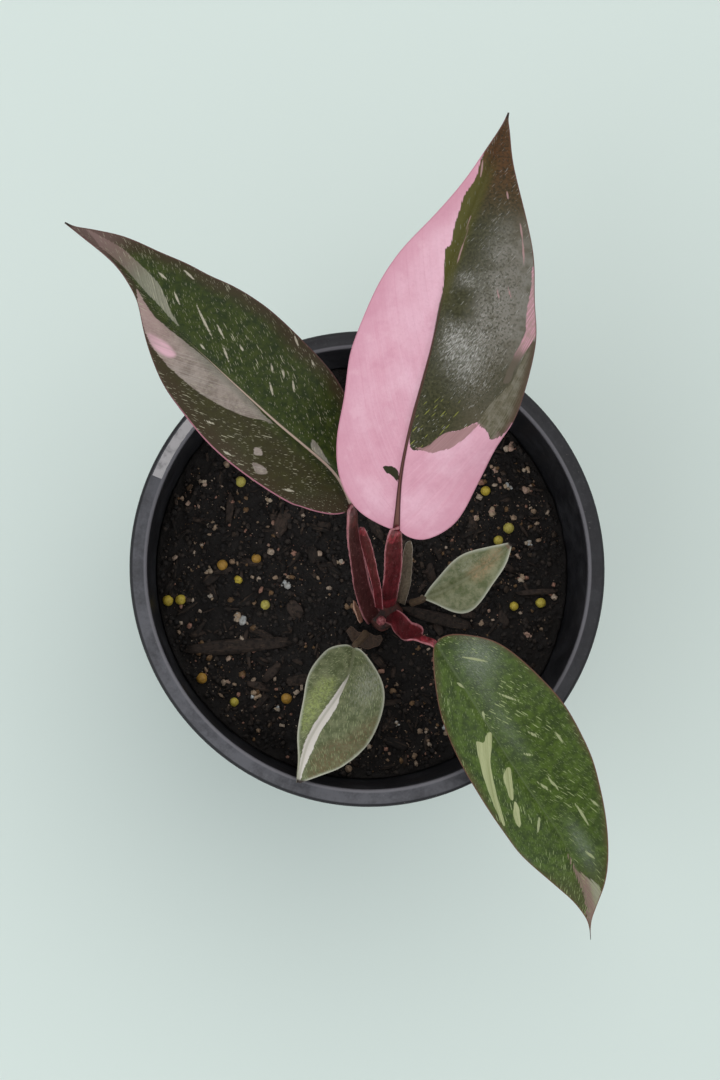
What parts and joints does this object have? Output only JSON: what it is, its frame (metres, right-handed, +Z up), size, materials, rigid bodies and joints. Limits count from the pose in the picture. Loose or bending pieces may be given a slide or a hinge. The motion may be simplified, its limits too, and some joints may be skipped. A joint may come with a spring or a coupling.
{
  "type": "potted philodendron",
  "caption": "Variegated philodendron with pointed pink and green leaves on channelled red stalks, growing from bark soil in a round nursery pot.",
  "frame": {"origin": "centre of the pot's flat base", "axes": "+Z is up along the pot's axis; the largest leaf points mostly along +Y and the second largest to -X and +Y"},
  "size_m": [0.1474, 0.2148, 0.1777],
  "materials": {
    "pot_plastic": "satin, dusty",
    "tape": "matt",
    "soil": "rough",
    "stem": "rough",
    "bud": "satin",
    "stalk_red": "satin",
    "stalk_olive": "satin",
    "sheath": "satin",
    "dry_scale": "matt",
    "leaf_pink": "satin",
    "leaf_dark": "satin",
    "leaf_green": "satin",
    "leaf_young": "satin"
  },
  "bodies": {
    "root": {"pot": "pot_plastic", "rim_tape": "tape", "soil": "soil", "main_stem": "stem", "bud": "bud", "stalk_top": "stalk_red", "stalk_left": "stalk_red", "stalk_low": "stalk_red", "stalk_small_left": "stalk_olive", "stalk_small_right": "stalk_olive", "sheath": "sheath", "dry_scale_left": "dry_scale", "dry_scale_low": "dry_scale", "blade_top": "leaf_pink", "blade_left": "leaf_dark", "blade_low": "leaf_green", "blade_small_left": "leaf_young", "blade_small_right": "leaf_young"}
  },
  "joints": []
}
